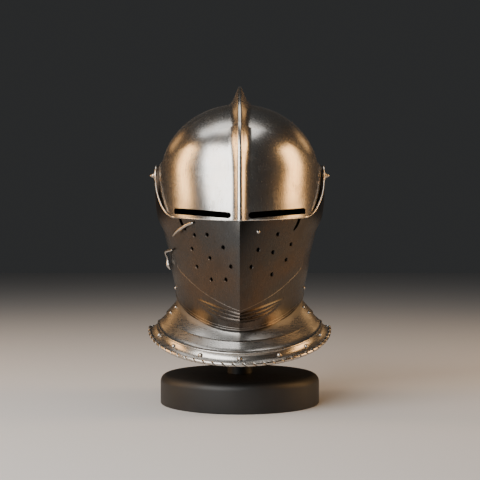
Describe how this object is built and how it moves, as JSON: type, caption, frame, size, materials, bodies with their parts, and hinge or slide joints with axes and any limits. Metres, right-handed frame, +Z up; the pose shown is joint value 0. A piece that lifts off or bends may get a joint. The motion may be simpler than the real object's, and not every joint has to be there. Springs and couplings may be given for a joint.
{
  "type": "visored knight helmet on a display stand",
  "caption": "Close helmet with a high comb, a lifting visor with eye slits, a keeled bevor with breath holes and a spreading gorget, on a plain round stand with a post.",
  "frame": {"origin": "middle of the flat foot of the stand", "axes": "+Z up, -Y towards the front of the helmet, +X towards the wearer's left"},
  "size_m": [0.2168, 0.2575, 0.3782],
  "materials": {
    "plate_steel": "satin steel, finely brushed upright, with a faint warm tone",
    "visor_steel": "brighter satin steel, finely brushed",
    "fitting_steel": "polished steel rivets, studs, peg and hook",
    "stand": "very dark matt stain"
  },
  "bodies": {
    "root": {"stand_base": "stand", "stand_post": "stand", "skull": "plate_steel", "rear_lame": "plate_steel", "rear_flange": "plate_steel", "pivot_stud_left": "fitting_steel", "pivot_stud_right": "fitting_steel", "rear_flange_rivet_1": "fitting_steel", "rear_flange_rivet_2": "fitting_steel", "rear_flange_rivet_3": "fitting_steel", "rear_flange_rivet_4": "fitting_steel", "rear_flange_rivet_5": "fitting_steel", "rear_flange_rivet_6": "fitting_steel", "rear_flange_rivet_7": "fitting_steel"},
    "lower_bevor": {"lower_bevor": "plate_steel", "front_lame": "plate_steel", "front_flange": "plate_steel", "flange_rivet_1": "fitting_steel", "flange_rivet_2": "fitting_steel", "flange_rivet_3": "fitting_steel", "flange_rivet_4": "fitting_steel", "flange_rivet_5": "fitting_steel", "flange_rivet_6": "fitting_steel", "flange_rivet_7": "fitting_steel", "lame_rivet_left_1": "fitting_steel", "lame_rivet_left_2": "fitting_steel", "lame_rivet_right_1": "fitting_steel", "lame_rivet_right_2": "fitting_steel", "cheek_rivet_left": "fitting_steel", "cheek_rivet_right": "fitting_steel"},
    "upper_bevor": {"upper_bevor": "plate_steel", "lifting_peg": "fitting_steel", "bevor_rivet": "fitting_steel"},
    "visor": {"visor": "visor_steel"},
    "swivel_hook": {"swivel_hook": "fitting_steel"}
  },
  "joints": [
    {"name": "lower_bevor_lift", "type": "hinge", "parent": "root", "child": "lower_bevor", "pos_m": [0, 0, 0.272], "axis": [-1, 0, 0], "range_deg": [0, 30]},
    {"name": "upper_bevor_lift", "type": "hinge", "parent": "lower_bevor", "child": "upper_bevor", "pos_m": [0, 0, 0.272], "axis": [-1, 0, 0], "range_deg": [0, 32]},
    {"name": "visor_lift", "type": "hinge", "parent": "upper_bevor", "child": "visor", "pos_m": [0, 0, 0.272], "axis": [-1, 0, 0], "range_deg": [0, 45]},
    {"name": "hook_swivel", "type": "hinge", "parent": "lower_bevor", "child": "swivel_hook", "pos_m": [-0.08147, -0.01288, 0.166], "axis": [-0.9715, -0.1801, -0.1539], "range_deg": [-70, 0]}
  ]
}
